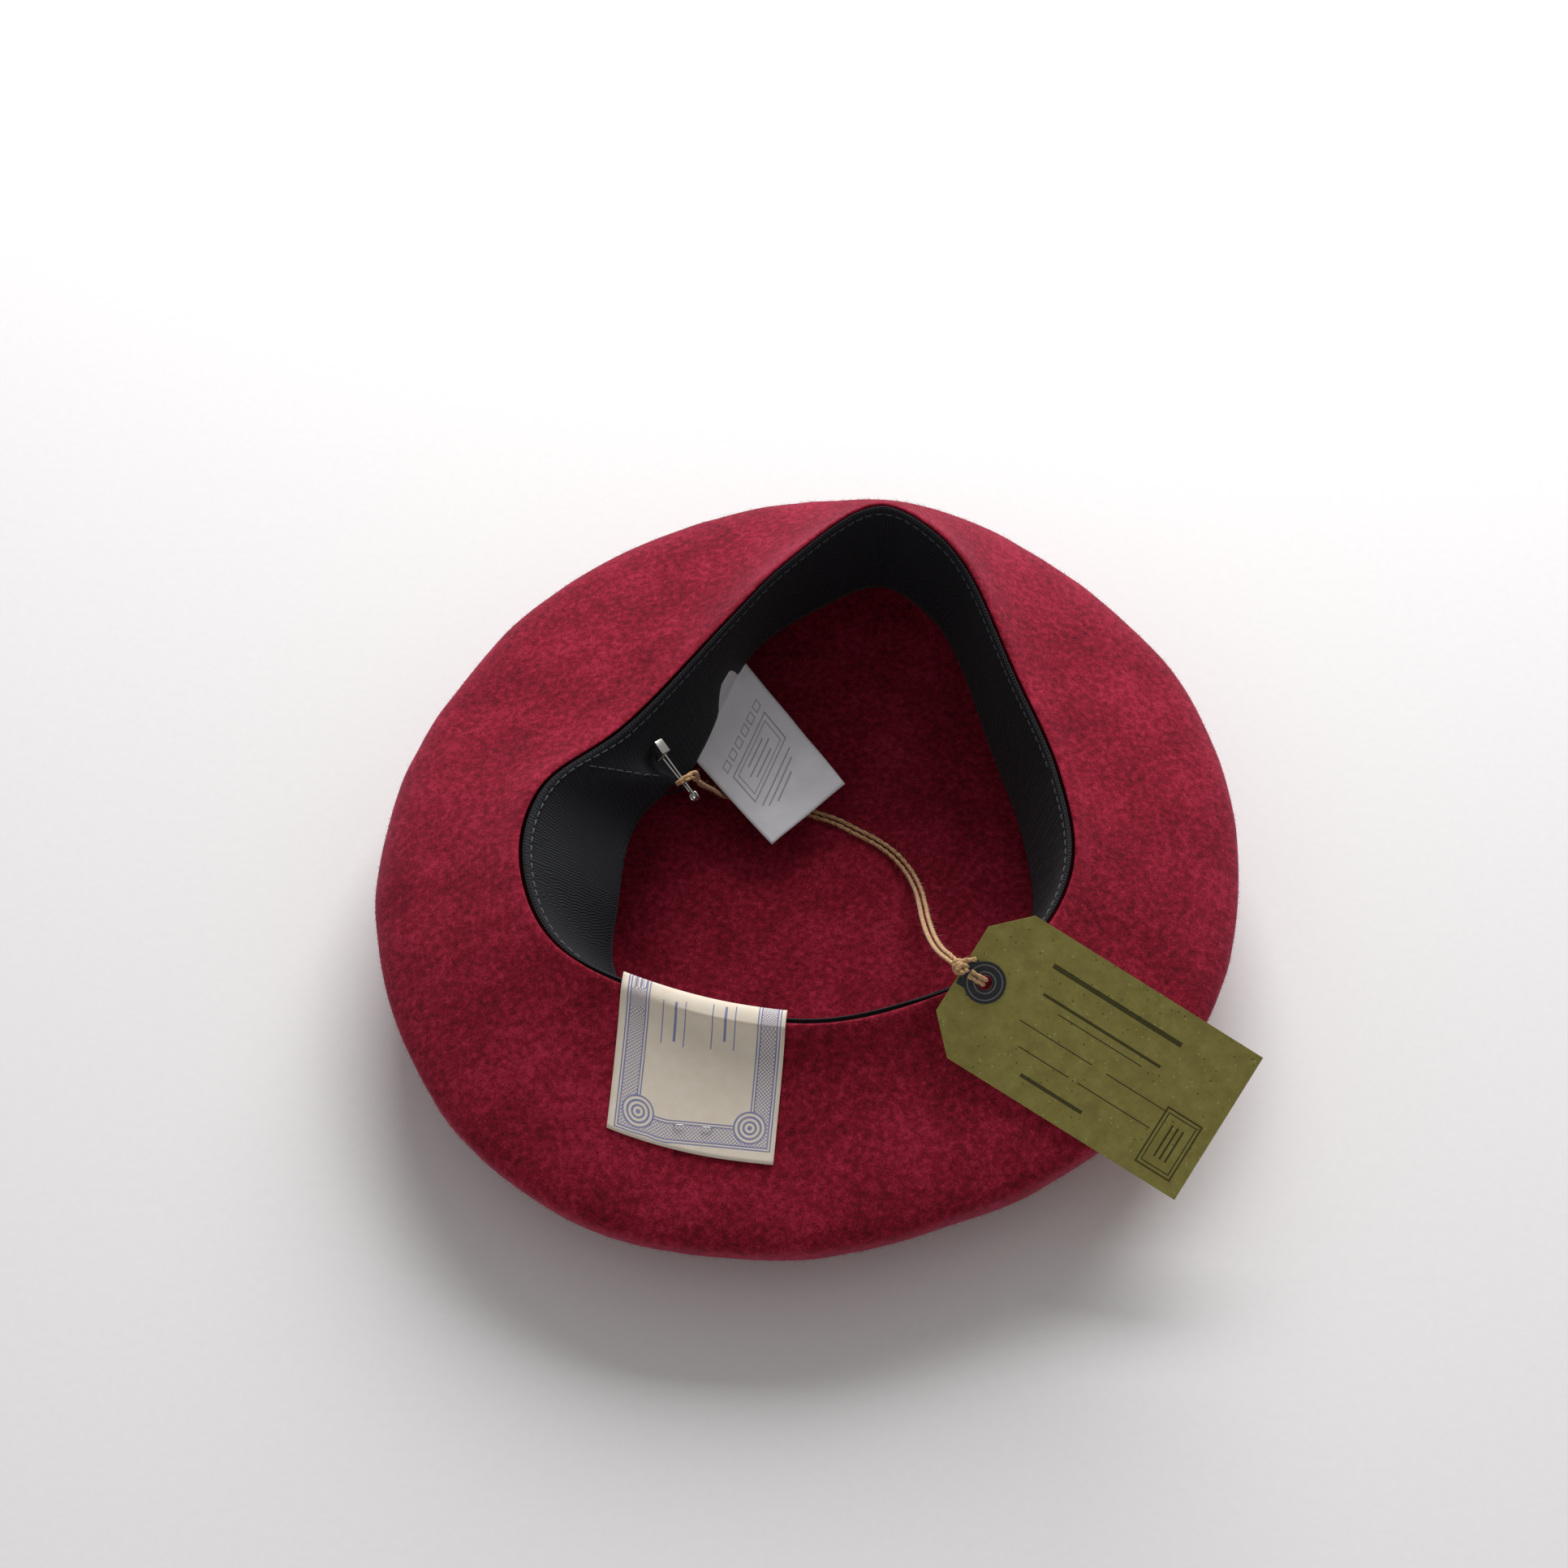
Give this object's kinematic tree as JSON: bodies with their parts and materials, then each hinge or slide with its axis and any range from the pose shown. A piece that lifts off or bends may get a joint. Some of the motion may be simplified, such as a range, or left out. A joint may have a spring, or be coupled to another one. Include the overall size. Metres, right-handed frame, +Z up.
{
  "type": "beret",
  "caption": "Wool felt beret lying crown down, with grosgrain sweatband, folded size label, satin care label, safety pin, twine and hang tag.",
  "frame": {"origin": "middle of the footprint of the beret and its tag, on the surface that the crown rests on", "axes": "+Z up out of the head opening, +Y towards the high part of the rim, +X towards the side where the hang tag lies"},
  "size_m": [0.2826, 0.2866, 0.09],
  "materials": {
    "felt": "fulled and brushed wool felt, mottled nap",
    "grosgrain": "ribbed grosgrain ribbon with beaded selvedges",
    "dark_thread": "twisted sewing thread",
    "laid_paper": "uncoated cream paper with a blue printed border",
    "staple_wire": "galvanised staple wire",
    "satin": "white woven satin",
    "pale_thread": "twisted sewing thread",
    "nickel_plate": "bright nickel plate",
    "kraft_card": "speckled olive recycled card",
    "patch_card": "charcoal gummed reinforcing paper",
    "jute": "two-ply natural jute with loose hair"
  },
  "bodies": {
    "root": {"felt_body": "felt", "sweatband": "grosgrain", "band_thread": "dark_thread", "join_thread": "dark_thread", "size_label": "laid_paper", "staple": "staple_wire", "care_label_tab": "satin", "care_label_thread": "pale_thread", "pin_wire": "nickel_plate", "pin_cap": "nickel_plate", "twine": "jute"},
    "care_label": {"care_label": "satin"},
    "tag_knot": {"tag_knot": "jute"},
    "hang_tag": {"hang_tag": "kraft_card", "tag_patch_front": "patch_card", "tag_patch_back": "patch_card", "tag_loop": "jute"}
  },
  "joints": [
    {"name": "care_label_flip", "type": "hinge", "parent": "root", "child": "care_label", "pos_m": [-0.02977, 0.06174, 0.02964], "axis": [-0.4069, -0.8875, -0.2161], "range_deg": [0, 60]},
    {"name": "tag_swivel", "type": "hinge", "parent": "root", "child": "tag_knot", "pos_m": [0.04524, -0.06898, 0.076], "axis": [0, -0.5736, 0.8192], "range_deg": [0, 20]},
    {"name": "tag_lift", "type": "hinge", "parent": "tag_knot", "child": "hang_tag", "pos_m": [0.04524, -0.06898, 0.076], "axis": [-0.5299, -0.6947, -0.4864], "range_deg": [0, 80]}
  ]
}
